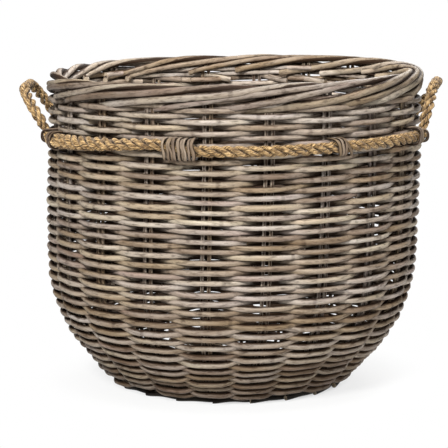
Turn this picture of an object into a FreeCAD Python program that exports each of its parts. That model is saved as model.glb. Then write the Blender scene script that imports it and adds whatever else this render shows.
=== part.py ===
import FreeCAD, Part
import math
import os
from FreeCAD import Vector

# A round laundry basket of woven rattan: paired stakes, plain weave, a rolled
# border, a woven base and a rope belt that carries two rope loop handles.
# Millimetres and degrees. The base stands on Z = 0, the front faces -Y, and
# angles run round the basket from the front towards +X.

# Overall shape of the wall, measured to the outer face of the weave.
basket_height = 508.0
belly_radius = 300.0
belly_height = 285.0
base_radius = 190.4
knee_height = 121.0
knee_inset = 4.5
rim_inset = 3.0
knee_bend = 245.0
belly_bend = 3000.0

# Stakes: upright pairs of thin rods.
stake_pairs = 20
stake_phase = 9.9
rod_diameter = 6.0
rod_spacing = 10.0
stake_corner_bend = 20.0

# Weavers.
weaver_diameter = 7.2
weaver_bend = 40.0
weave_bands_count = 11

# Clearance between pieces that bear on each other, and between strands laid side by side.
clearance = 0.3
strand_gap = 0.5

# Rolled border.
border_diameter = 10.0
border_strand_gap = 1.5
border_roll_gap = 1.0
border_outer_drop = 17.0
border_inner_drop = 12.0
border_bend = 120.0
border_tuck_bend = 40.0
border_tuck_angle = 5.0

# Base.
base_stick_diameter = 6.0
base_stick_gap = 3.0
sticks_each_way = 5
base_weaver_bend = 10.0
base_weave_inner_radius = 76.0
binding_diameter = 6.0
foot_strand_diameter = 8.0
foot_steps = 6
foot_wear = 0.4
foot_bend = 90.0

# Rope belt and handles.
rope_below_rim = 99.0
rope_diameter = 18.5
handle_rope_diameter = 16.0
handle_wall_gap = 2.0
handle_foot_angle = 69.2
handle_elbow_inset = 9.0
handle_elbow_bend = 10.0
handle_shoulder_inset = 11.0
handle_shoulder_height = 52.0
handle_crown_inset = 42.0
handle_crown_bend = 40.0
handle_rise = 84.0
handle_tilt_left = 33.0
handle_tilt_right = 24.0

# Lashings of split rattan round the rope and through the wall.
lashing_diameter = 4.6
lashing_gap = 1.3
lashing_inner_bend = 3.0
handle_lashing_wraps = 3
# Name, stake pair to its left counted from the first pair right of the front,
# distance from the middle of that gap between the pairs, and number of wraps.
belt_lashings = [
    ("lashing_front_left", -2, 9.6, 8),
    ("lashing_front_right", 1, -27.7, 4),
    ("lashing_back_right", 8, 0.0, 4),
    ("lashing_back_left", 11, 0.0, 4),
]

step_angle = 360.0 / stake_pairs
half_step = step_angle / 2
row_pitch = weaver_diameter + clearance
border_lay = border_diameter + border_strand_gap
border_roll_radius = (border_diameter + rod_diameter) / 2 + border_roll_gap
foot_lay = foot_strand_diameter + strand_gap
binding_pitch = binding_diameter + strand_gap
base_stick_spacing = base_stick_diameter + base_stick_gap
base_fan_radius = base_stick_spacing * (sticks_each_way - 0.5)
lashing_pitch = lashing_diameter + lashing_gap
handle_lashing_pitch = lashing_diameter + clearance
handle_foot_length = handle_lashing_wraps * handle_lashing_pitch
rope_height = basket_height - rope_below_rim
up = Vector(0, 0, 1)
origin = Vector(0, 0, 0)


def around(radius, angle, height):
    """The point at a radius, an angle from the front and a height."""
    turn = math.radians(angle)
    return Vector(radius * math.sin(turn), -radius * math.cos(turn), height)


def rounded_path(points, bend, closed=False):
    """Straight runs between the points, joined by tangent arcs."""
    count = len(points)
    arcs = {}
    for i in range(count) if closed else range(1, count - 1):
        corner = points[i]
        back = (points[i - 1] - corner).normalize()
        ahead = (points[(i + 1) % count] - corner).normalize()
        half_turn = (math.pi - back.getAngle(ahead)) / 2
        if half_turn < 0.0005:
            continue
        radius = bend[i] if isinstance(bend, list) else bend
        start = corner + back * (radius * math.tan(half_turn))
        end = corner + ahead * (radius * math.tan(half_turn))
        middle = corner + (back + ahead).normalize() * (radius / math.cos(half_turn) - radius)
        arcs[i] = (start, middle, end)
    edges = []
    for i in range(count if closed else count - 1):
        following = (i + 1) % count
        start = arcs[i][2] if i in arcs else points[i]
        end = arcs[following][0] if following in arcs else points[following]
        edges.append(Part.makeLine(start, end))
        if following in arcs:
            edges.append(Part.Arc(*arcs[following]).toShape())
    return edges


def strand(edges, diameter):
    """A round solid along a path of edges."""
    first = edges[0]
    start = first.valueAt(first.FirstParameter)
    heading = first.tangentAt(first.FirstParameter)
    section = Part.Wire([Part.makeCircle(diameter / 2, start, heading)])
    return Part.Wire(edges).makePipeShell([section], True, False)


def stake_angle(index):
    return stake_phase + step_angle * index


# Half the wall's thickness: from the stakes' line to the weave's outer face.
bearing = (weaver_diameter + rod_diameter) / 2 + clearance
bend_room = (weaver_bend - bearing) ** 2 - (rod_spacing / 2) ** 2
apex = weaver_bend - math.sqrt(bend_room)
half_wall = apex + weaver_diameter / 2

# Height of the rods that run in under the basket: the weave below them clears
# the ground, and they rest on the foot strands, whose undersides are worn flat.
foot_top = foot_strand_diameter - foot_wear
floor_height = max(foot_top + rod_diameter / 2, half_wall) + 2 * clearance
foot_height = foot_strand_diameter / 2 - foot_wear

# Radii in the base, from the outside in: the foot's inner edge, the weaver round
# the stakes' ends, the ends themselves, the sticks' ends and the first weaver on them.
foot_outer_lane = base_radius - foot_strand_diameter / 2
foot_inner_edge = foot_outer_lane - foot_lay * foot_steps / 2 - foot_strand_diameter / 2
stake_end_row = (foot_inner_edge - clearance) * math.cos(math.radians(half_step / 2)) - weaver_diameter / 2
stake_start_radius = stake_end_row - weaver_diameter / 2 - clearance
spoke_end = stake_start_radius - clearance
last_base_row = spoke_end - weaver_diameter / 2 - clearance


def shifted_corner(before, corner, after, distance):
    """The corner of an outline once both its sides are shifted inwards."""
    one = (corner - before).normalize()
    two = (after - corner).normalize()
    normal_one = Vector(-one.z, 0, one.x)
    normal_two = Vector(-two.z, 0, two.x)
    middle = (normal_one + normal_two).normalize()
    return corner + middle * (distance / middle.dot(normal_one))


def stake_line():
    """Points and bends of the line that the stakes follow, as radius and height."""
    base = Vector(base_radius, 0, 0)
    knee = Vector(belly_radius - knee_inset, 0, knee_height)
    belly = Vector(belly_radius, 0, belly_height)
    rim = Vector(belly_radius - rim_inset, 0, basket_height)
    knee_in = shifted_corner(base, knee, belly, half_wall)
    belly_in = shifted_corner(knee, belly, rim, half_wall)
    rim_in = rim - Vector(half_wall, 0, 0)
    slope = (knee - base).normalize()
    corner = knee_in - slope * ((knee_in.z - floor_height) / slope.z)
    start = Vector(stake_start_radius, 0, floor_height)
    top = belly_in + (rim_in - belly_in) * ((stake_top - belly_in.z) / (rim_in.z - belly_in.z))
    bends = [0, stake_corner_bend, knee_bend - half_wall, belly_bend, 0]
    return [start, corner, knee_in, belly_in, top], bends


border_centre = basket_height - border_diameter / 2 - border_roll_radius
stake_top = border_centre - clearance
stake_points, stake_bends = stake_line()
stake_edges = rounded_path(stake_points, stake_bends)
wall_edges = stake_edges[1:]


def wall_station(distance):
    """Point and outward normal at a distance up the stakes' line from the foot."""
    for edge in wall_edges:
        if distance <= edge.Length or edge is wall_edges[-1]:
            break
        distance -= edge.Length
    parameter = edge.getParameterByLength(distance)
    along = edge.tangentAt(parameter)
    return edge.valueAt(parameter), Vector(along.z, 0, -along.x)


def distance_up(height):
    """Distance up the stakes' line to a height."""
    low = 0.0
    high = sum(edge.Length for edge in wall_edges)
    while high - low > 0.001:
        middle = (low + high) / 2
        if wall_station(middle)[0].z < height:
            low = middle
        else:
            high = middle
    return low


def ring_corners(station, normal, offsets, first_out):
    """Corners of a woven ring, by turns outside and inside the stakes."""
    corners = []
    for index in range(stake_pairs):
        outside = (index % 2 == 0) == first_out
        spot = station + normal * (offsets[0] if outside else -offsets[1])
        corners.append(around(spot.x, stake_angle(index), spot.z))
    return corners


def woven_ring(station, normal, nearest, bend, first_out):
    """One weaver that goes round the basket, in front of and behind the stakes.

    Its bends come as near to the stakes' line as nearest allows.
    """
    offsets = [nearest, nearest]
    for attempt in range(6):
        corners = ring_corners(station, normal, offsets, True)
        for side in (0, 1):
            before, corner, after = corners[side], corners[side + 1], corners[side + 2]
            half_turn = (after - corner).getAngle(corner - before) / 2
            offsets[1 - side] = nearest + bend / math.cos(half_turn) - bend
    corners = ring_corners(station, normal, offsets, first_out)
    return strand(rounded_path(corners, bend, True), weaver_diameter)


# Where the lashings pass through the wall, above and below the rope.
slot_offset = rope_diameter / 2 + clearance + lashing_diameter / 2
beside_slot = lashing_diameter / 2 + clearance + weaver_diameter / 2


def spread_rows(low, high):
    """Row distances from low to high, no closer than the row pitch."""
    spaces = int((high - low) / row_pitch)
    return [low + (high - low) * index / spaces for index in range(spaces + 1)]


def row_distances():
    foot_row = distance_up(floor_height + half_wall / 2)
    below_rope = distance_up(rope_height - slot_offset - beside_slot)
    behind_low = distance_up(rope_height - slot_offset + beside_slot)
    behind_high = distance_up(rope_height + slot_offset - beside_slot)
    above_rope = distance_up(rope_height + slot_offset + beside_slot)
    border_foot = border_centre - border_outer_drop
    last_gap = (border_diameter + weaver_diameter) / 2 + clearance
    top_row = distance_up(border_foot - last_gap)
    rows = spread_rows(foot_row, below_rope)
    rows += spread_rows(behind_low, behind_high)
    rows += spread_rows(above_rope, top_row)
    return rows


def weave_bands():
    bands = {}
    distances = row_distances()
    for index, distance in enumerate(distances):
        station, normal = wall_station(distance)
        ring = woven_ring(station, normal, apex, weaver_bend, index % 2 == 0)
        name = "weave_band_%02d" % (index * weave_bands_count // len(distances) + 1)
        bands.setdefault(name, []).append(ring)
    return bands


def stake_pair(index):
    rods = []
    for side in (-1, 1):
        rod = strand(stake_edges, rod_diameter)
        rod.translate(Vector(0, side * rod_spacing / 2, 0))
        rod.rotate(origin, up, stake_angle(index) - 90)
        rods.append(rod)
    return rods


def border_spot(travel):
    """Radius and height of a border strand's middle, by its travel over the rim."""
    line_radius = wall_station(distance_up(border_centre - border_outer_drop))[0].x
    roll_length = math.pi * border_roll_radius
    if travel < border_outer_drop:
        return line_radius + border_roll_radius, border_centre - border_outer_drop + travel
    if travel < border_outer_drop + roll_length:
        roll = (travel - border_outer_drop) / border_roll_radius
        rise = border_roll_radius * math.sin(roll)
        return line_radius + border_roll_radius * math.cos(roll), border_centre + rise
    drop = travel - border_outer_drop - roll_length
    return line_radius - border_roll_radius, border_centre - drop


def border_strand(index):
    """One rod of the rolled border, from its tuck between two stakes to its cut end."""
    start_angle = stake_angle(index) + half_step
    radius, height = border_spot(0)
    points = [around(radius - border_roll_radius, start_angle - border_tuck_angle, height)]
    travel = 0.0
    angle = start_angle
    last = border_outer_drop + math.pi * border_roll_radius + border_inner_drop
    while travel <= last:
        radius, height = border_spot(travel)
        points.append(around(radius, angle, height))
        travel += border_lay / 2
        angle += half_step
    bends = [border_bend] * len(points)
    bends[1] = border_tuck_bend
    return strand(rounded_path(points, bends), border_diameter)


def foot_strand(index):
    """One rod of the foot, which crosses from the outer edge to the inner one."""
    points = []
    for step in range(foot_steps + 1):
        radius = foot_outer_lane - foot_lay * step / 2
        points.append(around(radius, stake_angle(index) + half_step * step, foot_height))
    rod = strand(rounded_path(points, foot_bend), foot_strand_diameter)
    below = Part.makeBox(2 * belly_radius, 2 * belly_radius, foot_strand_diameter)
    below.translate(Vector(-belly_radius, -belly_radius, -foot_strand_diameter))
    return rod.cut(below).Solids[0]


def spread_inwards(outer, inner, pitch):
    """Radii from outer down to inner, one pitch apart."""
    return [outer - pitch * index for index in range(int((outer - inner) / pitch) + 1)]


base_rows = spread_inwards(last_base_row, base_weave_inner_radius, row_pitch)


def base_sticks():
    """Sticks that cross in the middle of the base and fan out to the stake pairs."""
    sticks = []
    half_count = sticks_each_way // 2
    layer_lift = (base_stick_diameter + clearance) / 2
    for quarter, lift in ((0, layer_lift), (90, -layer_lift)):
        for place in range(-half_count, half_count + 1):
            side = place * base_stick_spacing
            fan = step_angle * place
            run = side / math.tan(math.radians(fan)) if place else base_stick_spacing * 3
            ray = Vector(math.sin(math.radians(fan)), math.cos(math.radians(fan)), 0)
            half = [Vector(side, run, lift), ray * base_fan_radius, ray * spoke_end]
            points = [Vector(p.x, -p.y, p.z) for p in reversed(half)] + half
            stick = strand(rounded_path(points, base_weaver_bend), base_stick_diameter)
            stick.translate(Vector(0, 0, floor_height))
            stick.rotate(origin, up, stake_phase + quarter)
            sticks.append(stick)
    return sticks


def base_weave():
    rings = []
    stick_bearing = (weaver_diameter + base_stick_diameter) / 2 + clearance
    for row, radius in enumerate(base_rows):
        station = Vector(radius, 0, floor_height)
        rings.append(woven_ring(station, -up, stick_bearing, base_weaver_bend, row % 2 == 0))
    station = Vector(stake_end_row, 0, floor_height)
    rings.append(woven_ring(station, -up, apex, weaver_bend, False))
    return rings


def base_binding():
    """Rings above and below the sticks, from where they fan out to the weave."""
    inner_row = base_rows[-1] * math.cos(math.radians(half_step))
    first = inner_row - (weaver_diameter + binding_diameter) / 2 - clearance
    lift = (base_stick_diameter + binding_diameter) / 2 + clearance
    rings = []
    for radius in spread_inwards(first, base_fan_radius + binding_diameter / 2, binding_pitch):
        for side in (-1, 1):
            middle = Vector(0, 0, floor_height + side * lift)
            rings.append(Part.makeTorus(radius, binding_diameter / 2, middle))
    return rings


# The weave's outer and inner faces at the rope.
line_at_rope = wall_station(distance_up(rope_height))[0].x
outer_face = line_at_rope + half_wall
inner_face = line_at_rope - half_wall
rope_ring_radius = outer_face + clearance + rope_diameter / 2

# The handles' feet lie along Y. Their inner ends just clear the wall.
handle_clear_radius = outer_face + handle_rope_diameter / 2 + handle_wall_gap
foot_slope = 1 / math.tan(math.radians(handle_foot_angle))


def handle_axis_distance():
    """Distance of a handle's swing axis from the middle of the basket."""
    half = handle_foot_length / 2
    a = 1 + foot_slope ** 2
    b = -2 * half * foot_slope
    c = half ** 2 - handle_clear_radius ** 2
    return (-b + math.sqrt(b * b - 4 * a * c)) / (2 * a)


axis_distance = handle_axis_distance()
foot_middle = axis_distance * foot_slope
foot_outer = foot_middle + handle_foot_length / 2
foot_inner = foot_middle - handle_foot_length / 2


def belt_rope(middle_angle):
    """Half of the rope belt, which ends just short of the handles' feet."""
    inner_edge = rope_ring_radius - rope_diameter / 2
    end_angle = math.degrees(math.acos((foot_outer + clearance) / inner_edge))
    ends = [around(rope_ring_radius, middle_angle + turn, rope_height) for turn in (-end_angle, 0, end_angle)]
    return strand([Part.Arc(*ends).toShape()], rope_diameter)


def handle(side, tilt):
    """A rope loop between its two feet, leaning outwards by its tilt."""
    half = [
        Vector(0, foot_outer, 0),
        Vector(0, foot_inner - handle_elbow_inset, 0),
        Vector(0, foot_inner - handle_shoulder_inset, handle_shoulder_height),
        Vector(0, foot_inner - handle_crown_inset, handle_rise),
    ]
    half_bends = [0, handle_elbow_bend, handle_crown_bend, handle_crown_bend]
    points = half + [Vector(0, -p.y, p.z) for p in reversed(half)]
    loop = strand(rounded_path(points, half_bends + half_bends[::-1]), handle_rope_diameter)
    loop.rotate(origin, Vector(0, 1, 0), side * tilt)
    loop.translate(Vector(side * axis_distance, 0, rope_height))
    return loop


def wrap(outer_reach, inner_reach, outer_bend):
    """One closed turn of lashing in the XZ plane, over the rope and behind the wall."""
    points = [
        Vector(outer_reach, 0, slot_offset),
        Vector(inner_reach, 0, slot_offset),
        Vector(inner_reach, 0, -slot_offset),
        Vector(outer_reach, 0, -slot_offset),
    ]
    bends = [outer_bend, lashing_inner_bend, lashing_inner_bend, outer_bend]
    turn = strand(rounded_path(points, bends, True), lashing_diameter)
    turn.translate(Vector(0, 0, rope_height))
    return turn


wrap_inner_radius = inner_face - clearance - lashing_diameter / 2


def belt_lashing(gap, shift, wraps):
    middle = stake_angle(gap) + half_step + math.degrees(shift / rope_ring_radius)
    turns = []
    for index in range(wraps):
        offset = (index - (wraps - 1) / 2) * lashing_pitch
        turn = wrap(rope_ring_radius + slot_offset, wrap_inner_radius, slot_offset - clearance)
        turn.rotate(origin, up, middle + math.degrees(offset / rope_ring_radius) - 90)
        turns.append(turn)
    return turns


def handle_lashing(side, end):
    """Turns of lashing round one foot of a handle, square to the swing axis."""
    reach = handle_rope_diameter / 2 + clearance + lashing_diameter / 2
    turns = []
    for index in range(handle_lashing_wraps):
        place = foot_middle + (index - (handle_lashing_wraps - 1) / 2) * handle_lashing_pitch
        inner = math.sqrt(wrap_inner_radius ** 2 - place ** 2)
        turn = wrap(axis_distance + reach, inner, reach - clearance)
        turn.translate(Vector(0, -place, 0))
        if side < 0:
            turn.rotate(origin, up, 180)
            turn.translate(Vector(0, -2 * place, 0))
        if end == "back":
            turn = turn.mirror(origin, Vector(0, 1, 0))
        turns.append(turn)
    return turns


def build():
    nodes = {}
    for index in range(stake_pairs):
        nodes["stake_pair_%02d" % (index + 1)] = stake_pair(index)
    nodes.update(weave_bands())
    for index in range(stake_pairs):
        nodes.setdefault("border_strands_%02d" % (index // 2 + 1), []).append(border_strand(index))
    nodes["foot_border"] = [foot_strand(index) for index in range(stake_pairs)]
    nodes["base_sticks"] = base_sticks()
    nodes["base_weave"] = base_weave()
    nodes["base_binding"] = base_binding()
    nodes["rope_belt_front"] = [belt_rope(0)]
    nodes["rope_belt_back"] = [belt_rope(180)]
    nodes["rope_handle_left"] = [handle(-1, handle_tilt_left)]
    nodes["rope_handle_right"] = [handle(1, handle_tilt_right)]
    for name, gap, shift, wraps in belt_lashings:
        nodes[name] = belt_lashing(gap, shift, wraps)
    for side, word in ((-1, "left"), (1, "right")):
        for end in ("front", "back"):
            nodes["lashing_handle_%s_%s" % (word, end)] = handle_lashing(side, end)
    return nodes


os.makedirs("parts", exist_ok=True)
for node, solids in build().items():
    shape = solids[0] if len(solids) == 1 else Part.makeCompound(solids)
    shape.exportStep("parts/%s.step" % node)
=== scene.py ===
import math

import bpy
import numpy as np
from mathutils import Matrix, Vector

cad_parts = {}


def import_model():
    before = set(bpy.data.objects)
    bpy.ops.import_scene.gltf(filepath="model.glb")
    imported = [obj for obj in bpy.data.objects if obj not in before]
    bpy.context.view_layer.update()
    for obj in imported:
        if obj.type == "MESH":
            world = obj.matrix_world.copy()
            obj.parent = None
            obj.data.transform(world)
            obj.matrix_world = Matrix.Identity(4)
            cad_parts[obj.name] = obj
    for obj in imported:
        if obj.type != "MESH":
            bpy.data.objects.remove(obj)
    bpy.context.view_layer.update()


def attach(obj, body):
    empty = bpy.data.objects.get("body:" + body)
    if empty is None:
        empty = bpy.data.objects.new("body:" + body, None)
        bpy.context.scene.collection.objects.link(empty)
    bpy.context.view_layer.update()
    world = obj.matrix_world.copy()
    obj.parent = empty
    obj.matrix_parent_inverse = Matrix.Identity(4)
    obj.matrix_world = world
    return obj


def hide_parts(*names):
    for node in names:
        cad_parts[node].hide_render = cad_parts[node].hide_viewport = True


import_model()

# The basket's own sizes, in metres. The base stands on Z = 0 and the front faces
# -Y; angles run round the basket from the front towards +X, in degrees.
BASKET_HEIGHT = 0.508
BELLY_RADIUS = 0.300
BELLY_HEIGHT = 0.285
BASE_RADIUS = 0.1904
KNEE_HEIGHT = 0.121
KNEE_INSET = 0.0045
KNEE_BEND = 0.245
BELLY_BEND = 3.0
RIM_INSET = 0.003
HALF_WALL = 0.01088

# How far the handmade shape is out of true: slopes to the right and the back, and
# the foot's place to the left of the rope's.
RIM_SLOPE_RIGHT = 0.0135
RIM_SLOPE_BACK = 0.0125
RIM_DROP = 0.0025
FOOT_SHIFT = 0.0085
ROPE_SLOPE = 0.0045

STAKE_PAIRS = 20
STAKE_PHASE = 9.9
STEP = 360.0 / STAKE_PAIRS
ROD_DIAMETER = 0.006
ROD_SPACING = 0.010
STAKE_INNER_END = 0.1487
STAKE_BEND = 0.012
STAKE_WALL_START = 0.010

ROW_PITCH = 0.0075
WEAVER_DIAMETER = 0.0090
WEAVE_DEPTH = 0.0074
WEAVER_OVERLAP = 0.34
BANDS = 11

BORDER_DIAMETER = 0.0108
BORDER_ROLL = 0.009
BORDER_LAY = 0.0115
BORDER_TUCK = 0.012
BORDER_OUTER_DROP = 0.017
BORDER_INNER_DROP = 0.012
BORDER_CENTRE = BASKET_HEIGHT - 0.005 - BORDER_ROLL
BORDER_FOOT = BORDER_CENTRE - BORDER_OUTER_DROP

FLOOR_HEIGHT = 0.0116
FOOT_DIAMETER = 0.0078
FOOT_LAY = 0.0085
FOOT_LANE = 0.1864
FOOT_HEIGHT = 0.0038

STICK_END = 0.1483
STICK_LIFT = 0.00315
BASE_ROWS = 10
BASE_ROW_PITCH = 0.0075
BASE_WEAVER_DIAMETER = 0.0078
BASE_WEAVE_DEPTH = 0.0066
LAST_BASE_ROW = 0.1444
END_ROW = 0.1525
END_ROW_DEPTH = 0.0068
TWINING_START = 0.0465
TWINING_END = 0.073
TWINING_PITCH = 0.0062
TWINING_DIAMETER = 0.0048
TWINING_DEPTH = 0.0054
TWINING_SPREAD = 0.0018

ROPE_HEIGHT = 0.409
ROPE_RADIUS = 0.00925
ROPE_RING = 0.3079
ROPE_END_ANGLE = 66.4
YARN_DIAMETER = 0.0028

# The handles swing about lines at this distance left and right of the middle. Their
# loops lean outwards by the tilt, in degrees, and rise to the crown.
HINGE_LINE = 0.290604
HANDLE_LINE = 0.2880
HANDLE_ROPE_RADIUS = 0.008
HANDLE_SIDE = {"left": -1, "right": 1}
HANDLE_CROWN = {"left": 0.0813, "right": 0.0765}
HANDLE_TILT = {"left": 33.2, "right": 18.5}
HANDLE_TWIST = {"left": 0.0, "right": 0.018}
HANDLE_FOOT_OUTER = 0.1177
HANDLE_FOOT_INNER = 0.1030

LASHING_WIDTH = 0.0050
LASHING_PITCH = 0.0052
FOOT_LASHING_WIDTH = 0.0054
FOOT_LASHING_PITCH = 0.0049
LASHING_START = 0.2739
SLOT = 0.0118

rng = np.random.RandomState(20)


# ---------------------------------------------------------------- node trees

class Value:
    """A socket of a node tree. Arithmetic on it adds Math nodes."""

    def __init__(self, tree, socket):
        self.tree = tree
        self.socket = socket

    def math(self, operation, *others):
        inputs = dict(enumerate((self,) + others))
        return add(self.tree, "ShaderNodeMath", {"operation": operation}, inputs)

    def __add__(self, other):
        return self.math("ADD", other)

    def __sub__(self, other):
        return self.math("SUBTRACT", other)

    def __mul__(self, other):
        return self.math("MULTIPLY", other)

    def __truediv__(self, other):
        return self.math("DIVIDE", other)

    def __rsub__(self, other):
        return add(self.tree, "ShaderNodeMath", {"operation": "SUBTRACT"}, {0: other, 1: self})

    __radd__ = __add__
    __rmul__ = __mul__


def add(tree, kind, settings=None, inputs=None, out=0):
    """Adds a node with its settings and the values or links of its sockets."""
    node = tree.nodes.new(kind)
    for name, setting in (settings or {}).items():
        if name == "stops":
            ramp = node.color_ramp
            while len(ramp.elements) < len(setting):
                ramp.elements.new(0.5)
            for element, (place, colour) in zip(ramp.elements, setting):
                element.position = place
                element.color = (*colour, 1)
        else:
            setattr(node, name, setting)
    for name, value in (inputs or {}).items():
        socket = node.inputs[name]
        if isinstance(value, Value):
            tree.links.new(value.socket, socket)
        else:
            socket.default_value = value
    return Value(tree, node.outputs[out])


def combine(tree, x, y, z):
    return add(tree, "ShaderNodeCombineXYZ", None, {0: x, 1: y, 2: z})


def vector_math(tree, operation, one, two, out=0):
    return add(tree, "ShaderNodeVectorMath", {"operation": operation}, {0: one, 1: two}, out)


def scaled(vector, factor):
    inputs = {0: vector, "Scale": factor}
    return add(vector.tree, "ShaderNodeVectorMath", {"operation": "SCALE"}, inputs)


def component(vector, axis):
    return add(vector.tree, "ShaderNodeSeparateXYZ", None, {0: vector}, out=axis)


# -------------------------------------------------------------- Geometry Nodes

def new_tree(name, sockets):
    """A Geometry Nodes tree with named inputs; returns it and its inputs by name."""
    tree = bpy.data.node_groups.new(name, "GeometryNodeTree")
    tree.interface.new_socket("Geometry", in_out="OUTPUT", socket_type="NodeSocketGeometry")
    tree.interface.new_socket("Geometry", in_out="INPUT", socket_type="NodeSocketGeometry")
    for label, kind in sockets:
        tree.interface.new_socket(label, in_out="INPUT", socket_type="NodeSocket" + kind)
    group = tree.nodes.new("NodeGroupInput")
    return tree, {socket.name: Value(tree, socket) for socket in group.outputs if socket.name}


def named(tree, name, kind="FLOAT"):
    return add(tree, "GeometryNodeInputNamedAttribute", {"data_type": kind}, {"Name": name})


def stored(geometry, name, value, kind="FLOAT", domain="POINT"):
    settings = {"data_type": kind, "domain": domain}
    inputs = {"Geometry": geometry, "Name": name, "Value": value}
    return add(geometry.tree, "GeometryNodeStoreNamedAttribute", settings, inputs)


def guide_curves(tree, geometry):
    """The guide lines as curves that face the way their guide says."""
    curves = add(tree, "GeometryNodeMeshToCurve", None, {"Mesh": geometry})
    facing = {"Curve": curves, "Normal": named(tree, "facing", "FLOAT_VECTOR")}
    curves = add(tree, "GeometryNodeSetCurveNormal", {"mode": "FREE"}, facing)
    length = add(tree, "GeometryNodeSplineParameter", None, None, out=1)
    return stored(curves, "along", length)


def skin(tree, curves, sides, flatness, bumpiness, material):
    """Rods round the curves, with grain coordinates and marked cut ends."""
    inputs = {"Resolution": sides, "Radius": 1.0}
    profile = add(tree, "GeometryNodeCurvePrimitiveCircle", None, inputs)
    around = add(tree, "GeometryNodeSplineParameter") * math.tau
    profile = stored(profile, "around", around)
    squeeze = combine(tree, flatness, 1.0, 1.0)
    profile = add(tree, "GeometryNodeTransform", None, {"Geometry": profile, "Scale": squeeze})
    radius = named(tree, "thickness") * 0.5
    inputs = {"Curve": curves, "Profile Curve": profile, "Scale": radius, "Fill Caps": True}
    mesh = add(tree, "GeometryNodeCurveToMesh", None, inputs)
    around = named(tree, "around")
    outwards, sideways = radius * around.math("COSINE"), radius * around.math("SINE")
    grain = combine(tree, named(tree, "along"), outwards, sideways)
    mesh = stored(mesh, "grain", grain, "FLOAT_VECTOR")
    corners = add(tree, "GeometryNodeInputMeshFaceNeighbors")
    settings = {"data_type": "INT", "operation": "GREATER_THAN"}
    cap = add(tree, "FunctionNodeCompare", settings, {2: corners, 3: 4})
    mesh = stored(mesh, "cut", cap, "FLOAT", "FACE")
    seed = combine(tree, named(tree, "tint") * 7.0, named(tree, "cast") * 5.0, 0.0)
    spot = vector_math(tree, "ADD", scaled(grain, 60.0), seed)
    swell = add(tree, "ShaderNodeTexNoise", None, {"Vector": spot, "Scale": 1.0, "Detail": 1.0})
    normal = add(tree, "GeometryNodeInputNormal")
    push = {"Geometry": mesh, "Offset": scaled(normal, (swell - 0.5) * bumpiness)}
    mesh = add(tree, "GeometryNodeSetPosition", None, push)
    rounded = add(tree, "FunctionNodeBooleanMath", {"operation": "NOT"}, {0: cap})
    inputs = {"Geometry": mesh, "Shade Smooth": rounded}
    mesh = add(tree, "GeometryNodeSetShadeSmooth", None, inputs)
    mesh = add(tree, "GeometryNodeRealizeInstances", None, {"Geometry": mesh})
    return add(tree, "GeometryNodeSetMaterial", None, {"Geometry": mesh, "Material": material})


def finish_tree(tree, geometry):
    output = tree.nodes.new("NodeGroupOutput")
    tree.links.new(geometry.socket, output.inputs[0])
    return tree


def rod_tree():
    sockets = [("Sides", "Int"), ("Flatness", "Float")]
    sockets += [("Bumpiness", "Float"), ("Material", "Material")]
    tree, given = new_tree("bent rods", sockets)
    curves = guide_curves(tree, given["Geometry"])
    mesh = skin(tree, curves, *(given[name] for name, kind in sockets))
    return finish_tree(tree, mesh)


def laid(tree, curves, count, offset, lay, turn_name):
    """Copies of the curves, wound round them at an offset with one turn per lay.

    The offset grows where the rope swells."""
    node = tree.nodes.new("GeometryNodeDuplicateElements")
    node.domain = "SPLINE"
    tree.links.new(curves.socket, node.inputs["Geometry"])
    tree.links.new(count.socket, node.inputs["Amount"])
    copies, index = Value(tree, node.outputs[0]), Value(tree, node.outputs[1])
    copies = stored(copies, turn_name, index)
    turn = (named(tree, "along") / lay + named(tree, turn_name) / count) * math.tau
    normal = add(tree, "GeometryNodeInputNormal")
    tangent = add(tree, "GeometryNodeInputTangent")
    side = vector_math(tree, "CROSS_PRODUCT", tangent, normal)
    forward, sideward = scaled(normal, turn.math("COSINE")), scaled(side, turn.math("SINE"))
    reach = vector_math(tree, "ADD", forward, sideward)
    push = scaled(reach, offset * named(tree, "swell"))
    return add(tree, "GeometryNodeSetPosition", None, {"Geometry": copies, "Offset": push})


def rope_tree():
    sockets = [("Strands", "Int"), ("Strand Offset", "Float"), ("Lay", "Float")]
    sockets += [("Yarns", "Int"), ("Yarn Offset", "Float"), ("Yarn Lay", "Float")]
    sockets += [("Sides", "Int"), ("Material", "Material")]
    tree, given = new_tree("laid rope", sockets)
    curves = guide_curves(tree, given["Geometry"])
    curves = laid(tree, curves, given["Strands"], given["Strand Offset"], given["Lay"], "strand")
    curves = laid(tree, curves, given["Yarns"], given["Yarn Offset"], given["Yarn Lay"], "yarn")
    number = named(tree, "strand") * 31.0 + named(tree, "yarn")
    inputs = {"ID": number, "Seed": 4}
    chance = add(tree, "FunctionNodeRandomValue", {"data_type": "FLOAT"}, inputs, out=1)
    curves = stored(curves, "tint", chance)
    mesh = skin(tree, curves, given["Sides"], 1.0, 0.0006, given["Material"])
    return finish_tree(tree, mesh)


def guide_mesh(name, rods):
    """One mesh of guide lines, a chain of edges per rod, with what the skin reads."""
    mesh = bpy.data.meshes.new(name)
    counts = [len(rod["points"]) for rod in rods]
    starts = np.cumsum([0] + counts[:-1])
    links = []
    for start, count in zip(starts, counts):
        links.append(start + np.column_stack([np.arange(count - 1), np.arange(1, count)]))
    points = np.concatenate([rod["points"] for rod in rods])
    mesh.from_pydata(points, np.concatenate(links).tolist(), [])
    for key in ("thickness", "tint", "cast", "sheltered", "swell"):
        values = np.concatenate([np.broadcast_to(rod[key], n) for rod, n in zip(rods, counts)])
        layer = mesh.attributes.new(key, "FLOAT", "POINT")
        layer.data.foreach_set("value", values.astype(np.float32))
    facing = np.concatenate([rod["facing"] for rod in rods]).astype(np.float32)
    layer = mesh.attributes.new("facing", "FLOAT_VECTOR", "POINT")
    layer.data.foreach_set("vector", facing.ravel())
    return mesh


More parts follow.
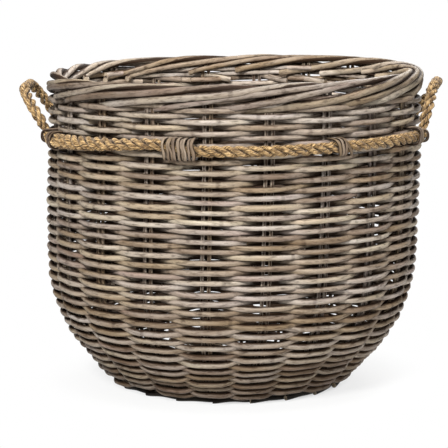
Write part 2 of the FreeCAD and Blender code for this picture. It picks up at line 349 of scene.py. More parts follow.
def grown(name, rods, tree, settings, body, nodes):
    """Skins guide lines with a tree and hands the plain mesh to a body."""
    guide = bpy.data.objects.new(name + "_guide", guide_mesh(name, rods))
    bpy.context.collection.objects.link(guide)
    modifier = guide.modifiers.new("grow", "NODES")
    modifier.node_group = tree
    inputs = [item for item in tree.interface.items_tree if item.in_out == "INPUT"]
    identifiers = {item.name: item.identifier for item in inputs}
    for label, value in settings.items():
        modifier[identifiers[label]] = value
    evaluated = guide.evaluated_get(bpy.context.evaluated_depsgraph_get())
    mesh = bpy.data.meshes.new_from_object(evaluated)
    mesh.name = name
    guide.modifiers.clear()
    bpy.data.objects.remove(guide)
    piece = bpy.data.objects.new(name, mesh)
    bpy.context.collection.objects.link(piece)
    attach(piece, body)
    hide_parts(*nodes)
    return piece


# ------------------------------------------------------------------- the form

def unit(vectors):
    return vectors / np.linalg.norm(vectors, axis=-1, keepdims=True)


def around(radius, angle, height):
    """Points at radii, angles from the front in degrees, and heights."""
    turn = np.radians(angle)
    radius, turn, height = np.broadcast_arrays(radius, turn, height)
    return np.stack([radius * np.sin(turn), -radius * np.cos(turn), height], axis=-1)


def leaned(points):
    """The slight handmade lean: the rim rises to the right and back, the foot sits left."""
    points = np.array(points)
    share = np.clip(points[:, 2] / BASKET_HEIGHT, 0, 1)
    rise = RIM_SLOPE_RIGHT * points[:, 0] + RIM_SLOPE_BACK * points[:, 1] - RIM_DROP
    points[:, 2] += rise * share ** 2
    points[:, 0] -= FOOT_SHIFT * np.clip(1 - points[:, 2] / ROPE_HEIGHT, 0, 1)
    return points


def level(points):
    """Undoes the lean, for what turns on a handle's hinge line."""
    points = np.array(points)
    lean = leaned(points) - points
    return points - lean


def tilted(points):
    """The rope and its lashings lie a little lower on the left, and level from front to back."""
    points = np.array(points)
    points[:, 2] += ROPE_SLOPE * points[:, 0] - ROPE_SLOPE * points[:, 1]
    return points


def rounded(points, bends, steps=12):
    """A dense line along the points, eased round each corner by about its bend."""
    points = [np.array(point, float) for point in points]
    line = [points[0]]
    for before, middle, after, bend in zip(points[:-2], points[1:-1], points[2:], bends):
        back, ahead = unit(before - middle), unit(after - middle)
        half_turn = (math.pi - math.acos(np.clip(back @ ahead, -1, 1))) / 2
        reach = bend * math.tan(half_turn)
        start, end = middle + back * reach, middle + ahead * reach
        for s in np.linspace(0, 1, steps):
            line.append((1 - s) ** 2 * start + 2 * s * (1 - s) * middle + s * s * end)
    return np.array(line + [points[-1]])


def lengths_along(line):
    """The length of a line up to each of its points."""
    steps = np.linalg.norm(np.diff(line, axis=0), axis=1)
    return np.concatenate([[0], np.cumsum(steps)])


def evenly(line, spacing):
    """The same line with points evenly spaced along it."""
    lengths = lengths_along(line)
    places = np.linspace(0, lengths[-1], max(2, int(lengths[-1] / spacing) + 1))
    return np.stack([np.interp(places, lengths, column) for column in line.T], axis=-1)


def shifted_corner(before, corner, after, distance):
    one, two = unit(corner - before), unit(after - corner)
    normal_one = np.array([-one[1], one[0]])
    middle = unit(normal_one + np.array([-two[1], two[0]]))
    return corner + middle * (distance / (middle @ normal_one))


def stake_outline():
    """The line that the stakes follow up the wall, as dense rows of radius and height."""
    base = np.array([BASE_RADIUS, 0.0])
    knee = np.array([BELLY_RADIUS - KNEE_INSET, KNEE_HEIGHT])
    belly = np.array([BELLY_RADIUS, BELLY_HEIGHT])
    rim = np.array([BELLY_RADIUS - RIM_INSET, BASKET_HEIGHT])
    knee_in = shifted_corner(base, knee, belly, HALF_WALL)
    belly_in = shifted_corner(knee, belly, rim, HALF_WALL)
    top = rim - np.array([HALF_WALL, 0.0])
    slope = unit(knee - base)
    corner = knee_in - slope * ((knee_in[1] - FLOOR_HEIGHT) / slope[1])
    points = [corner, knee_in, belly_in, top]
    return rounded(points, [KNEE_BEND - HALF_WALL, BELLY_BEND], 60)


outline = stake_outline()
outline_lengths = lengths_along(outline)


def outline_at(distance):
    """Radius and height at distances along the stakes' line."""
    return [np.interp(distance, outline_lengths, outline[:, axis]) for axis in (0, 1)]


def wall_station(distance):
    """Radius, height and outward normal at distances up the stakes' line."""
    radius, height = outline_at(distance)
    nudge = 0.002
    ahead_r, ahead_z = outline_at(distance + nudge)
    behind_r, behind_z = outline_at(np.maximum(distance - nudge, 0))
    slope_r, slope_z = ahead_r - behind_r, ahead_z - behind_z
    size = np.hypot(slope_r, slope_z)
    return radius, height, slope_z / size, -slope_r / size


def distance_up(height):
    return float(np.interp(height, outline[:, 1], outline_lengths))


def spread_rows(low, high):
    """Evenly spaced rows between two heights, as distances up the stakes' line."""
    low, high = distance_up(low), distance_up(high)
    spaces = int((high - low) / ROW_PITCH)
    return list(np.linspace(low, high, spaces + 1))


def row_distances():
    """Where the weavers lie up the wall, with room for lashings above and below the rope.

    The last two rows lie inside the border."""
    slot = ROPE_RADIUS + 0.0026
    beside = 0.0049
    rows = spread_rows(FLOOR_HEIGHT + 0.0058, ROPE_HEIGHT - slot - beside)
    rows += spread_rows(ROPE_HEIGHT - slot + beside, ROPE_HEIGHT + slot - beside)
    rows += spread_rows(ROPE_HEIGHT + slot + beside, BORDER_FOOT - 0.0089)
    return rows + [distance_up(BORDER_FOOT - 0.001), distance_up(BORDER_FOOT + 0.0075)]


def slow_waves(count, low, high):
    """A few random waves round the basket, to be evaluated at any angle and row."""
    cycles = rng.randint(low, high, count)
    drift = rng.uniform(-0.35, 0.35, count)
    phase = rng.uniform(0, math.tau, count)

    def wave(angle, row):
        turn = np.radians(angle)
        parts = zip(cycles, drift, phase)
        return sum(np.sin(c * turn + d * row + p) for c, d, p in parts) / count
    return wave


# --------------------------------------------------------------------- pieces

rods_tree = rod_tree()
ropes_tree = rope_tree()


def rod(points, facing, diameter, taper=0.0, sheltered=0.0, swell=1.0):
    """A guide line for one rod or rope, with its own tint and its amount of painted shade."""
    points = leaned(points)
    facing = np.broadcast_to(facing, points.shape)
    thickness = diameter * np.linspace(1 + taper, 1 - taper, len(points)) * swell
    shades = {"tint": rng.rand(), "cast": rng.rand(), "sheltered": sheltered, "swell": swell}
    return {"points": points, "facing": facing, "thickness": thickness, **shades}


def eased_step(share):
    share = np.clip(share, 0, 1)
    return share * share * (3 - 2 * share)


def between_stakes(values, place):
    """Values given at the stakes, eased from each stake to the next."""
    low = np.floor(place).astype(int)
    share = eased_step(place - low)
    return values[low % STAKE_PAIRS] * (1 - share) + values[(low + 1) % STAKE_PAIRS] * share


def weaver(row, distance, first, last, wave):
    """One weaver from a stake pair it passes behind to another, round the wall."""
    start, end = first - WEAVER_OVERLAP, last + WEAVER_OVERLAP
    place = np.linspace(start, end, int((last - first + 2 * WEAVER_OVERLAP) * 13))
    angle = STAKE_PHASE + STEP * place
    radius, height, out_r, out_z = wall_station(np.full(len(place), distance))
    swing = np.cos(math.pi * place) * (1 if row % 2 == 0 else -1)
    depth = WEAVE_DEPTH * (swing * (1.3 - 0.3 * swing ** 2) + 0.46 * (1 - swing ** 2))
    depth *= 0.5 if distance > distance_up(BORDER_FOOT - 0.002) else 1.0
    depth += between_stakes(rng.normal(0, 0.00045, STAKE_PAIRS), place)
    depth -= WEAVER_DIAMETER * 0.9 * eased_step((place - last + 0.35) / 0.3)
    sag = radius * (1 - math.cos(math.radians(STEP / 2))) * 0.8 * (1 - swing ** 2)
    rise = 0.0036 * wave(angle, row)
    rise = rise + between_stakes(rng.normal(0, 0.0008, STAKE_PAIRS), place)
    points = around(radius + depth * out_r - sag, angle, height + depth * out_z + rise)
    facing = around(out_r, angle, out_z)
    girth = rng.normal(WEAVER_DIAMETER, 0.0005)
    girth = girth * (1 + between_stakes(rng.normal(0, 0.04, STAKE_PAIRS), place))
    # Painted shade where the weaver dives behind a stake pair, and more of it towards the base.
    sheltered = 1 - eased_step((swing + 0.90) / 0.42) + 0.26 * eased_step(1 - distance / 0.11)
    return rod(points, facing, girth, 0.04 * rng.choice([-1, 1]), sheltered)


def wall_weave():
    wave = slow_waves(7, 1, 7)
    bands = [[] for band in range(BANDS)]
    distances = row_distances()
    for row, distance in enumerate(distances):
        hidden = [k for k in range(STAKE_PAIRS) if k % 2 != row % 2]
        joints = sorted(rng.choice(hidden, rng.choice([2, 3]), replace=False))
        for first, last in zip(joints, joints[1:] + [joints[0] + STAKE_PAIRS]):
            bands[row * BANDS // len(distances)].append(weaver(row, distance, first, last, wave))
    return bands


def stakes(index):
    """The two rods of a pair, from under the base weave up to the border."""
    angle = STAKE_PHASE + STEP * index
    top = distance_up(BORDER_CENTRE)
    wall = np.stack(outline_at(np.linspace(STAKE_WALL_START, top, 110)), axis=-1)
    start = (STAKE_INNER_END, FLOOR_HEIGHT)
    line = np.concatenate([rounded([start, outline[0], wall[0]], [STAKE_BEND]), wall[1:]])
    turn = math.radians(angle)
    sideways = np.array([math.cos(turn), math.sin(turn), 0])
    rods = []
    for side in (-1, 1):
        bow = rng.normal(0, 0.0004) * np.sin(np.linspace(0, 9, len(line)) + rng.rand() * 6)
        points = around(line[:, 0], angle, line[:, 1])
        points = points + np.outer(side * ROD_SPACING / 2 + bow, sideways)
        # The stakes carry a little painted shade all along, as they lie behind the weavers.
        rods.append(rod(points, sideways, ROD_DIAMETER, 0.03, 0.1))
    return rods


def border_rod(index):
    """One thick rod: from between two stakes, up outside, over the rim and cut off inside."""
    line_radius = float(wall_station(distance_up(BORDER_FOOT))[0])
    roll = math.pi * BORDER_ROLL
    last = BORDER_OUTER_DROP + roll + BORDER_INNER_DROP + rng.uniform(-0.005, 0.004)
    travel = np.linspace(-BORDER_TUCK, last, 120)
    angle = STAKE_PHASE + STEP * (index + 0.5 + travel / BORDER_LAY) + rng.normal(0, 1.5)
    ending = eased_step((travel - last + 0.0038) / 0.0038) ** 2
    travel = travel * rng.uniform(0.95, 1.06) + 0.0026 * np.sin(travel * 140 + rng.uniform(0, 6))
    turn = np.clip((travel - BORDER_OUTER_DROP) / BORDER_ROLL, 0, math.pi)
    drop = np.maximum(travel - BORDER_OUTER_DROP - roll, 0)
    climb = np.minimum(travel, BORDER_OUTER_DROP) - BORDER_OUTER_DROP
    emerge = eased_step((travel + BORDER_TUCK) / BORDER_TUCK)
    reach = BORDER_ROLL * (np.cos(turn) * emerge - 0.9 * (1 - emerge)) - 0.014 * ending
    reach = reach + 0.0016 * emerge * np.sin(travel * 190 + rng.uniform(0, 6))
    height = BORDER_CENTRE + climb + BORDER_ROLL * np.sin(turn) - drop
    points = around(line_radius + reach, angle, height)
    facing = around(np.cos(turn), angle, np.sin(turn))
    return rod(points, facing, rng.normal(BORDER_DIAMETER, 0.0007), 0.06)


def foot_rod(index):
    """One rod of the foot border, which runs in under its neighbours."""
    place = np.linspace(0, 3, 45)
    angle = STAKE_PHASE + STEP * (index + place)
    wave = 0.5 - 0.5 * np.cos(math.tau * place)
    lane = FOOT_LANE - FOOT_LAY * place + 0.0016 * wave * rng.uniform(0.3, 1.3)
    points = around(lane, angle, FOOT_HEIGHT + 0.0004 + 0.0022 * wave * rng.uniform(0.4, 1.2))
    return rod(points, (0, 0, 1), FOOT_DIAMETER, 0.04)


def base_sticks():
    """Two crossed layers of five sticks, which fan out from the middle of the base."""
    rods = []
    for quarter, lift in ((0, STICK_LIFT), (90, -STICK_LIFT)):
        for place in (-2, -1, 0, 1, 2):
            fan = math.radians(STEP * place)
            side = 0.009 * place
            run = side / math.tan(fan) if place else 0.027
            ray = np.array([math.sin(fan), math.cos(fan), 0])
            half = [np.array([side, run, lift]), ray * 0.040, ray * STICK_END]
            points = [p * (1, -1, 1) for p in reversed(half)] + half
            points = evenly(rounded(points, [0.01, 0.008, 0.008, 0.01]), 0.004)
            turn = math.radians(STAKE_PHASE + quarter)
            cosine, sine = math.cos(turn), math.sin(turn)
            spin = np.array([[cosine, -sine], [sine, cosine]])
            points[:, :2] = points[:, :2] @ spin.T
            points[:, 2] += FLOOR_HEIGHT
            rods.append(rod(points, (0, 0, 1), ROD_DIAMETER, 0.03))
    return rods


def base_round(radius, depth, diameter, sign, spread=0.0):
    """One weaver round the base, above one stick and below the next."""
    start = rng.randint(STAKE_PAIRS) + 0.1
    place = np.linspace(start, start + STAKE_PAIRS + 0.4, STAKE_PAIRS * 12)
    swing = np.cos(math.pi * place) * sign
    wobble = between_stakes(rng.normal(0, 0.0004, STAKE_PAIRS), place)
    lane = radius + wobble + spread * np.sin(math.pi * place)
    height = FLOOR_HEIGHT + depth * swing * (1.1 - 0.1 * swing ** 2)
    angle = STAKE_PHASE + STEP * place
    return rod(around(lane, angle, height), (0, 0, 1), diameter, 0.03)


def base_weave():
    """Weavers from the rim of the base inwards, and one more outside the sticks' ends."""
    rods = []
    for row in range(BASE_ROWS):
        radius = LAST_BASE_ROW - BASE_ROW_PITCH * row
        sign = 1 - 2 * (row % 2)
        rods.append(base_round(radius, BASE_WEAVE_DEPTH, BASE_WEAVER_DIAMETER, sign))
    return rods + [base_round(END_ROW, END_ROW_DEPTH, BASE_WEAVER_DIAMETER, -1)]


def base_binding():
    """Twined pairs of thin weavers round the base's middle, crossing between the sticks."""
    rods = []
    for radius in np.arange(TWINING_START, TWINING_END, TWINING_PITCH):
        for sign in (-1, 1):
            spread = TWINING_SPREAD * sign
            rods.append(base_round(radius, TWINING_DEPTH, TWINING_DIAMETER, sign, spread))
    return rods


def rope_lift(angle):
    """How much higher the rope runs to the left of the wide front lashing."""
    return 0.0095 * eased_step((-10 - angle) / 14) * np.clip((angle + 68) / 43, 0, 1)


def belt(middle):
    """One half of the rope belt, a little thicker towards its left end."""
    angle = middle + np.linspace(-ROPE_END_ANGLE, ROPE_END_ANGLE, 430)
    wave = slow_waves(5, 3, 12)
    height = ROPE_HEIGHT + 0.0012 * wave(angle, 9) + rope_lift(angle)
    points = around(ROPE_RING + 0.0008 * wave(angle, 0), angle, height)
    swell = 1 + 0.34 * eased_step((-24 - angle) / 30)
    return rod(tilted(points), around(1.0, angle, 0.0), YARN_DIAMETER, swell=swell)


def handle(side_name):
    """The rope loop between its two feet on the hinge line, slimmer in its lashings."""
    side, crown = HANDLE_SIDE[side_name], HANDLE_CROWN[side_name]
    tilt = math.radians(HANDLE_TILT[side_name])
    half = [
        (HANDLE_FOOT_OUTER, 0.0),
        (HANDLE_FOOT_INNER - 0.009, 0.0),
        (HANDLE_FOOT_INNER - 0.011, crown - 0.034),
        (HANDLE_FOOT_INNER - 0.044, crown),
    ]
    points = half + [(-u, v) for u, v in reversed(half)]
    foot_bend, loop_bend = 0.014, 0.052
    line = evenly(rounded(points, [foot_bend] + [loop_bend] * 4 + [foot_bend]), 0.0016)
    across, rise = line[:, 0], line[:, 1]
    twist = HANDLE_TWIST[side_name] * np.clip(rise / 0.05, 0, 1)
    twist = twist * np.clip(0.6 + across / HANDLE_FOOT_INNER, 0, 1)
    start = HINGE_LINE + (HANDLE_LINE - HINGE_LINE) * np.clip(rise / 0.03, 0, 1)
    x = side * (start + twist + rise * math.sin(tilt))
    points = np.stack([x, across, ROPE_HEIGHT + rise * math.cos(tilt)], axis=-1)
    slim = 1 - 0.20 * eased_step((np.abs(across) - 0.086) / 0.010) * (rise < 0.02)
    facing = (side * math.cos(tilt), 0, -math.sin(tilt))
    return rod(level(points), facing, YARN_DIAMETER, swell=slim)


def wrap(middle, reach, hold, inner):
    """One turn of lashing round a rope at a distance from the axis, from behind the wall.

    It passes the rope at the reach on the outside and at the hold above and below."""
    half = [(inner, 0.004), (inner, SLOT), (middle - 0.006, hold), (middle + reach, hold)]
    points = half + [(distance, -height) for distance, height in reversed(half)]
    bends = [0.003, 0.02, reach - 0.0006]
    return evenly(rounded(points, bends + bends[::-1]), 0.0016)


def belt_lashing(middle, wraps, slant, hold):
    """Turns of strip that hold the belt to the wall at an angle from the front."""
    rods = []
    for index in range(wraps):
        reach = ROPE_RADIUS + 0.0022
        line = wrap(ROPE_RING, reach, hold * rng.uniform(0.94, 1.05), LASHING_START)
        offset = (index - (wraps - 1) / 2) * LASHING_PITCH + rng.normal(0, 0.0007)
        lay = slant * rng.uniform(0.2, 1.4) * -line[:, 1] / SLOT
        lay = lay + rng.normal(0, 0.0014) * np.sin(line[:, 1] * 200)
        angle = middle + np.degrees((offset + lay) / ROPE_RING)
        points = around(line[:, 0], angle, ROPE_HEIGHT + rope_lift(middle) + line[:, 1])
        heading = np.gradient(line, axis=0)
        facing = around(heading[:, 1], angle, -heading[:, 0])
        width = LASHING_WIDTH * rng.uniform(0.92, 1.12)
        rods.append(rod(tilted(points), unit(facing), width))
    return rods


def handle_lashing(side_name, end):
    """Turns of strip round a handle's foot and round the belt's end beside it."""
    side = HANDLE_SIDE[side_name]
    middle = (HANDLE_FOOT_OUTER + HANDLE_FOOT_INNER) / 2
    belt_end = side * (ROPE_END_ANGLE - 2.4)
    angle = belt_end if end < 0 else 180 - belt_end
    rods = belt_lashing(angle, 3, -0.003 * side, ROPE_RADIUS + 0.0034)
    for index in range(3):
        place = middle + (index - 1) * FOOT_LASHING_PITCH
        hold = HANDLE_ROPE_RADIUS + 0.0010
        line = wrap(HINGE_LINE, hold, hold, math.sqrt(LASHING_START ** 2 - place ** 2))
        heading = unit(np.gradient(line, axis=0))
        along = np.full(len(line), place) + rng.normal(0, 0.0004) * np.sin(line[:, 1] * 150)
        points = np.stack([side * line[:, 0], end * along, ROPE_HEIGHT + line[:, 1]], axis=-1)
        facing = np.stack([side * heading[:, 1], 0 * along, -heading[:, 0]], axis=-1)
        rods.append(rod(level(points), facing, FOOT_LASHING_WIDTH))
    return rods


# ------------------------------------------------------------------ materials

def new_material(name):
    material = bpy.data.materials.new(name)
    material.use_nodes = True
    tree = material.node_tree
    tree.nodes.clear()
    return material, tree


def attribute(tree, name, out=2):
    return add(tree, "ShaderNodeAttribute", {"attribute_name": name}, None, out)


def mixed(tree, factor, one, two, blend="MIX"):
    settings = {"data_type": "RGBA", "blend_type": blend}
    return add(tree, "ShaderNodeMix", settings, {0: factor, 6: one, 7: two}, out=2)


def noise(tree, vector, scale, detail=2.0, roughness=0.5):
    inputs = {"Vector": vector, "Scale": scale, "Detail": detail, "Roughness": roughness}
    return add(tree, "ShaderNodeTexNoise", None, inputs)


def stretched_noise(vector, along, across, detail=2.0, roughness=0.5):
    """Noise with its own scale along a rod and across it."""
    stretched = vector_math(vector.tree, "MULTIPLY", vector, (along, across, across))
    return noise(vector.tree, stretched, 1.0, detail, roughness)


def soft_range(tree, value, low, high):
    """0 below low and 1 above high, with a smooth step in between."""
    settings = {"interpolation_type": "SMOOTHSTEP", "clamp": True}
    inputs = {"Value": value, "From Min": low, "From Max": high}
    return add(tree, "ShaderNodeMapRange", settings, inputs)


def kept_length(tree, vector, kept):
    """The length of a vector's kept components."""
    part = vector_math(tree, "MULTIPLY", vector, kept)
    return vector_math(tree, "LENGTH", part, (0, 0, 0), out=1)


def surface(tree, colour, roughness, relief, depth, sheen=0.0):
    inputs = {"Strength": 0.7, "Distance": depth, "Height": relief}
    bump = add(tree, "ShaderNodeBump", None, inputs)
    inputs = {"Base Color": colour, "Roughness": roughness, "Normal": bump, "Sheen Weight": sheen}
    inputs.update({"IOR": 1.45, "Specular IOR Level": 0.22})
    shader = add(tree, "ShaderNodeBsdfPrincipled", None, inputs)
    output = tree.nodes.new("ShaderNodeOutputMaterial")
    tree.links.new(shader.socket, output.inputs["Surface"])


# Colour casts of weathered rattan, multiplied into its shade, from mauve by way of grey,
# olive and tan to russet.
CASTS = [
    (0.00, (1.05, 0.92, 0.94)),
    (0.22, (0.97, 0.98, 1.00)),
    (0.44, (1.01, 0.99, 0.91)),
    (0.62, (1.05, 1.01, 0.81)),
    (0.80, (1.11, 0.97, 0.78)),
    (1.00, (1.12, 0.93, 0.80)),
]

# Dark of stains and node rings, and of painted shade on flanks, insides and behind stakes.
STAIN_AND_SHADE_DARK = (0.022, 0.009, 0.003, 1)
# Brown of the painted shade towards the bottom of the basket.
LOW_SHADE_BROWN = (0.075, 0.044, 0.022, 1)
PITH = (0.56, 0.47, 0.36, 1)
PITH_PORES = (0.27, 0.19, 0.12, 1)
ROPE_DIRT = (0.065, 0.033, 0.013, 1)


def rattan(name, shades, level=1.0, ring_spacing=0.3, flank_shade=0.8, flank=0.0, inner=0.0):
    """Weathered rattan: a tone for each rod, long grain, blotches, node rings and cut ends,
    with painted shade and painted light.

    The setting after the ring spacing is how dark the painted shade on a rod's two flanks is,
    past the flank's place across it, and inner how dark the painted shade on the side that
    faces the axis is."""
    material, tree = new_material(name)
    grain = attribute(tree, "grain", out=1)
    tint, cast = attribute(tree, "tint"), attribute(tree, "cast")
    seeded = vector_math(tree, "ADD", grain, combine(tree, tint * 3.0, cast * 2.0, tint * 5.0))
    streaks = stretched_noise(seeded, 30.0, 900.0, 3.0, 0.65)
    fine = stretched_noise(seeded, 260.0, 2400.0, 2.0, 0.6)
    patches = stretched_noise(seeded, 16.0, 90.0)
    casts = stretched_noise(seeded, 11.0, 60.0)
    stains = stretched_noise(seeded, 70.0, 300.0, 3.0, 0.6)
    place = component(grain, 0) / ring_spacing + tint * 9.0 + cast * 4.0
    wander = (fine - 0.5) * 0.010
    away = (place.math("FRACT") - 0.5 + wander).math("ABSOLUTE")
    ring = 1.0 - soft_range(tree, away, 0.004, 0.016)
    pick = tint * 0.55 + (patches - 0.5) * 0.8 + 0.22
    shade = add(tree, "ShaderNodeValToRGB", {"stops": shades}, {"Fac": pick})
    hue = cast * 0.42 + (casts - 0.5) * 0.75 + 0.20
    tone = add(tree, "ShaderNodeValToRGB", {"stops": CASTS}, {"Fac": hue})
    colour = mixed(tree, 0.85, shade, tone, "MULTIPLY")
    dark = soft_range(tree, stains, 0.48, 0.70) * 0.6 + ring * 0.34
    outwards = component(grain, 1) / kept_length(tree, grain, (0.0, 1.0, 1.0))
    # Painted shade on a rod's two flanks, which are darker than its lit faces.
    lit_faces = soft_range(tree, outwards.math("ABSOLUTE") + (fine - 0.5) * 0.4, flank, 0.85)
    dark = dark + (1.0 - lit_faces) * flank_shade
    spot = add(tree, "ShaderNodeTexCoord", None, None, out=3)
    height = component(spot, 2)
    below = 1.0 - soft_range(tree, height, 0.38, 0.45)
    reach = kept_length(tree, spot, (1.0, 1.0, 0.0))
    inside = (1.0 - soft_range(tree, reach, 0.278, 0.290)) * (1.0 - below)
    # Painted shade on the side that faces the axis, low on the wall below the border.
    dark = dark + (1.0 - soft_range(tree, outwards, -0.5, 0.1)) * below * inner
    # Painted shade from each rod's own amount of it, less of it on the inner face of the rim.
    dark = dark + attribute(tree, "sheltered") * 0.9 * (1.0 - inside * 0.8)
    # Stains, node rings and painted shade all darken towards this colour.
    colour = mixed(tree, dark.math("MINIMUM", 0.96), colour, STAIN_AND_SHADE_DARK)
    # Painted shade: darker and browner towards the bottom of the basket.
    low_shade = 1.0 - soft_range(tree, height + (patches - 0.5) * 0.1, 0.0, 0.19)
    colour = mixed(tree, low_shade * 0.42, colour, LOW_SHADE_BROWN)
    # Painted light: the inner face of the rim above the rope is made brighter.
    light = level * (0.06 + streaks * 1.06 + fine * 0.92) * (1.0 + inside * 0.68)
    colour = mixed(tree, 1.0, colour, combine(tree, light, light, light), "MULTIPLY")
    pores = noise(tree, scaled(grain, 3200.0), 1.0, 1.0)
    end_colour = mixed(tree, soft_range(tree, pores, 0.42, 0.6), PITH, PITH_PORES)
    colour = mixed(tree, attribute(tree, "cut"), colour, end_colour)
    roughness = 0.42 + streaks * 0.26 + dark * 0.12
    relief = streaks * 0.7 + fine * 0.45 + stains * 0.3 - ring * 0.3
    surface(tree, colour, roughness, relief, 0.0007)
    return material


def rope_material(name):
    """Manila rope: golden fibres along each yarn, with painted shade in grooves and painted
    highlights on ridges, browner where dirt sits.
    """
    material, tree = new_material(name)
    grain = attribute(tree, "grain", out=1)
    tint = attribute(tree, "tint")
    seeded = vector_math(tree, "ADD", grain, combine(tree, tint * 4.0, 0.0, tint * 3.0))
    fibres = stretched_noise(seeded, 70.0, 3600.0, 3.0, 0.6)
    tufts = stretched_noise(seeded, 160.0, 900.0)
    place = add(tree, "ShaderNodeTexCoord", None, None, out=3)
    dirt = noise(tree, place, 42.0, 3.0, 0.6)
    # Fibre tone differs at random but follows the bumps: painted shade in their grooves, painted
    # highlights on their ridges.
    pick = tint * 0.35 + (fibres - 0.5) * 2.3 + (tufts - 0.5) * 2.9 + 0.42
    stops = [(0.0, (0.016, 0.007, 0.002)), (0.36, (0.076, 0.040, 0.013))]
    stops += [(0.62, (0.182, 0.106, 0.038)), (1.0, (0.600, 0.405, 0.190))]
    colour = add(tree, "ShaderNodeValToRGB", {"stops": stops}, {"Fac": pick})
    colour = mixed(tree, soft_range(tree, dirt, 0.42, 0.70) * 0.6, colour, ROPE_DIRT)
    relief = fibres * 0.9 + tufts * 0.7
    surface(tree, colour, 0.78 + fibres * 0.15, relief, 0.0012, sheen=0.15)
    return material


greys = [
    (0.00, (0.105, 0.066, 0.040)),
    (0.22, (0.170, 0.124, 0.088)),
    (0.42, (0.232, 0.184, 0.146)),
    (0.60, (0.278, 0.230, 0.192)),
    (0.80, (0.325, 0.282, 0.246)),
    (1.00, (0.420, 0.378, 0.342)),
]
warm_greys = [(place, (r * 1.02, g * 0.93, b * 0.84)) for place, (r, g, b) in greys]
# The flank and inner amounts of each finish set how much painted shade it gets.
weaver_finish = rattan("weathered rattan", greys, 0.93, flank_shade=1.0, flank=0.05, inner=0.8)
border_finish = rattan("thick weathered rattan", greys, 0.70, 0.34, flank_shade=1.6, flank=0.15)
stake_finish = rattan("stake rattan", greys, 1.05, flank_shade=0.9, flank=-0.1)
# Painted shade: the foot's level of 0.10 makes it as dark as the shade under the curve of the base.
foot_finish = rattan("foot rattan in painted shade", greys, 0.10)
lashing_finish = rattan("split rattan", warm_greys, 0.54, 0.4, flank_shade=1.2, flank=0.25)
rope_finish = rope_material("manila fibre")

round_rod = {"Sides": 10, "Flatness": 1.0, "Bumpiness": 0.0012}


def rods_piece(name, rods, finish, slot_name, nodes, **changes):
    settings = {**round_rod, "Material": finish, **changes}
    return grown(name, rods, rods_tree, settings, "basket", nodes)


for band, rods in enumerate(wall_weave(), start=1):
    nodes = ["weave_band_%02d" % band]
    rods_piece("woven_band_%02d" % band, rods, weaver_finish, "woven_rattan", nodes)
for index in range(STAKE_PAIRS):
    nodes = ["stake_pair_%02d" % (index + 1)]
    name = "stakes_%02d" % (index + 1)
    rods_piece(name, stakes(index), stake_finish, "rattan_rod", nodes, Sides=8)
for pair in range(STAKE_PAIRS // 2):
    rods = [border_rod(2 * pair), border_rod(2 * pair + 1)]
    nodes = ["border_strands_%02d" % (pair + 1)]
    name = "border_rods_%02d" % (pair + 1)
    rods_piece(name, rods, border_finish, "thick_rattan", nodes, Sides=16)
foot = [foot_rod(index) for index in range(STAKE_PAIRS)]
rods_piece("foot_rods", foot, foot_finish, "woven_rattan", ["foot_border"], Bumpiness=0.0004)
rods_piece("crossed_base_sticks", base_sticks(), stake_finish, "rattan_rod", ["base_sticks"],
           Sides=8)
rods_piece("base_weavers", base_weave(), weaver_finish, "woven_rattan", ["base_weave"],
           Bumpiness=0.0004)
rods_piece("base_twining", base_binding(), weaver_finish, "woven_rattan", ["base_binding"],
           Sides=8)

belt_rope = {"Strands": 3, "Strand Offset": 0.0053, "Lay": 0.054}
belt_rope.update({"Yarns": 9, "Yarn Offset": 0.0027, "Yarn Lay": -0.018})
belt_rope.update({"Sides": 6, "Material": rope_finish})
for name, middle in (("front", 0), ("back", 180)):
    grown("twisted_belt_" + name, [belt(middle)], ropes_tree, belt_rope,
          "basket", ["rope_belt_" + name])
handle_rope = {**belt_rope, "Strand Offset": 0.0050, "Lay": 0.047, "Yarn Offset": 0.0025}
for name in ("left", "right"):
    grown("twisted_handle_" + name, [handle(name)], ropes_tree, handle_rope,
          name + "_handle", ["rope_handle_" + name])

flat_strip = {"Sides": 12, "Flatness": 0.62, "Bumpiness": 0.0008}
# Each lashing of the belt: its name, the gap between stakes that it passes through, how
# far it is shifted along the belt, its turns, their slant, and their height round the rope.
belt_lashings = [
    ("front_left", -2, 0.0096, 9, 0.0008, 0.0155),
    ("front_right", 1, -0.0355, 4, 0.0045, 0.0125),
    ("back_right", 8, 0.0, 4, -0.002, 0.0115),
    ("back_left", 11, 0.0, 4, 0.002, 0.0115),
]
for name, gap, shift, wraps, slant, hold in belt_lashings:
    angle = STAKE_PHASE + STEP * (gap + 0.5) + math.degrees(shift / ROPE_RING)
    turns = belt_lashing(angle, wraps, slant, hold)
    rods_piece("strip_lashing_" + name, turns, lashing_finish, "split_rattan",
               ["lashing_" + name], **flat_strip)
for side_name in ("left", "right"):
    for end_name, end in (("front", -1), ("back", 1)):
        name = "%s_%s" % (side_name, end_name)
        turns = handle_lashing(side_name, end)
        rods_piece("foot_lashing_" + name, turns, lashing_finish, "split_rattan",
                   ["lashing_handle_" + name], **flat_strip)


# ---------------------------------------------------------------------- scene

def floor_material():
    """Pale floor that the camera sees as white, except under and close round the foot."""
    material, tree = new_material("pale floor")
    rays = tree.nodes.new("ShaderNodeLightPath")
    seen = Value(tree, rays.outputs["Is Camera Ray"]) + Value(tree, rays.outputs["Is Glossy Ray"])
    seen = (seen + Value(tree, rays.outputs["Is Transmission Ray"])).math("MINIMUM", 1.0)
    place = add(tree, "ShaderNodeTexCoord", None, None, out=3)
    away = vector_math(tree, "LENGTH", place, (0.0, 0.0, 0.0), out=1)
    near, far = soft_range(tree, away, 0.15, 0.19), soft_range(tree, away, 0.18, 0.34)
    white = seen * (near * 0.8 + far * 0.2)
    matt = add(tree, "ShaderNodeBsdfDiffuse", None, {"Color": (0.72, 0.72, 0.71, 1)})
    glow = add(tree, "ShaderNodeEmission", None, {"Color": (1, 1, 1, 1), "Strength": 1.0})
    mix = add(tree, "ShaderNodeMixShader", None, {0: white, 1: matt, 2: glow})
    output = tree.nodes.new("ShaderNodeOutputMaterial")
    tree.links.new(mix.socket, output.inputs["Surface"])
    return material


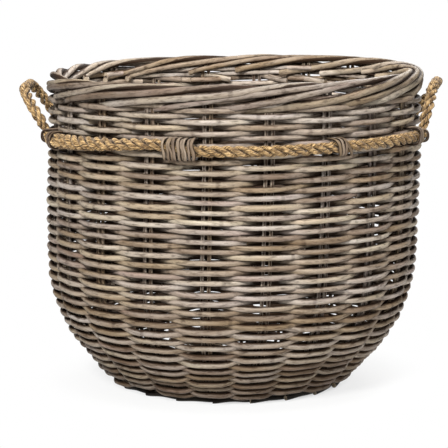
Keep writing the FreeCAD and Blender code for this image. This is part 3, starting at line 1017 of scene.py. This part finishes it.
def floor():
    mesh = bpy.data.meshes.new("floor")
    half = 40.0
    corners = [(-half, -half, 0), (half, -half, 0), (half, half, 0), (-half, half, 0)]
    mesh.from_pydata(corners, [], [(0, 1, 2, 3)])
    plane = bpy.data.objects.new("floor", mesh)
    bpy.context.collection.objects.link(plane)
    mesh.materials.append(floor_material())


def lamp(name, size, power, place, target):
    data = bpy.data.lights.new(name, "AREA")
    data.shape = "DISK"
    data.size = size
    data.energy = power
    light = bpy.data.objects.new(name, data)
    bpy.context.collection.objects.link(light)
    light.location = place
    direction = Vector(target) - Vector(place)
    light.rotation_euler = direction.to_track_quat("-Z", "Y").to_euler()


def world():
    scene_world = bpy.data.worlds.new("studio")
    bpy.context.scene.world = scene_world
    scene_world.use_nodes = True
    tree = scene_world.node_tree
    tree.nodes.clear()
    rays = tree.nodes.new("ShaderNodeLightPath")
    seen = Value(tree, rays.outputs["Is Camera Ray"])
    seen = seen + Value(tree, rays.outputs["Is Transmission Ray"])
    light = add(tree, "ShaderNodeBackground", None, {"Color": (1, 1, 1, 1), "Strength": 0.13})
    white = add(tree, "ShaderNodeBackground", None, {"Color": (1, 1, 1, 1), "Strength": 1.0})
    sky = add(tree, "ShaderNodeMixShader", None, {0: seen.math("MINIMUM", 1.0), 1: light, 2: white})
    output = tree.nodes.new("ShaderNodeOutputWorld")
    tree.links.new(sky.socket, output.inputs["Surface"])


floor()
world()
lamp("soft front", 0.8, 182.0, (-0.9, -2.9, 2.25), (0, 0, 0.25))
lamp("soft top", 1.2, 62.0, (0.2, -0.7, 2.6), (0, 0.25, 0.45))
lamp("soft back", 1.6, 75.0, (0.9, 2.7, 2.2), (0, 0, 0.25))
lamp("soft right", 1.2, 22.0, (2.3, -1.6, 1.4), (0, 0, 0.25))

camera_data = bpy.data.cameras.new("camera")
camera_data.lens = 150.3
camera_data.sensor_width = 36.0
camera = bpy.data.objects.new("camera", camera_data)
bpy.context.collection.objects.link(camera)
camera.location = (-0.0170, -3.0, 0.7185)
camera.rotation_euler = (math.radians(90 - 8.825), 0, 0)
bpy.context.scene.camera = camera
bpy.context.scene.view_settings.view_transform = "Standard"
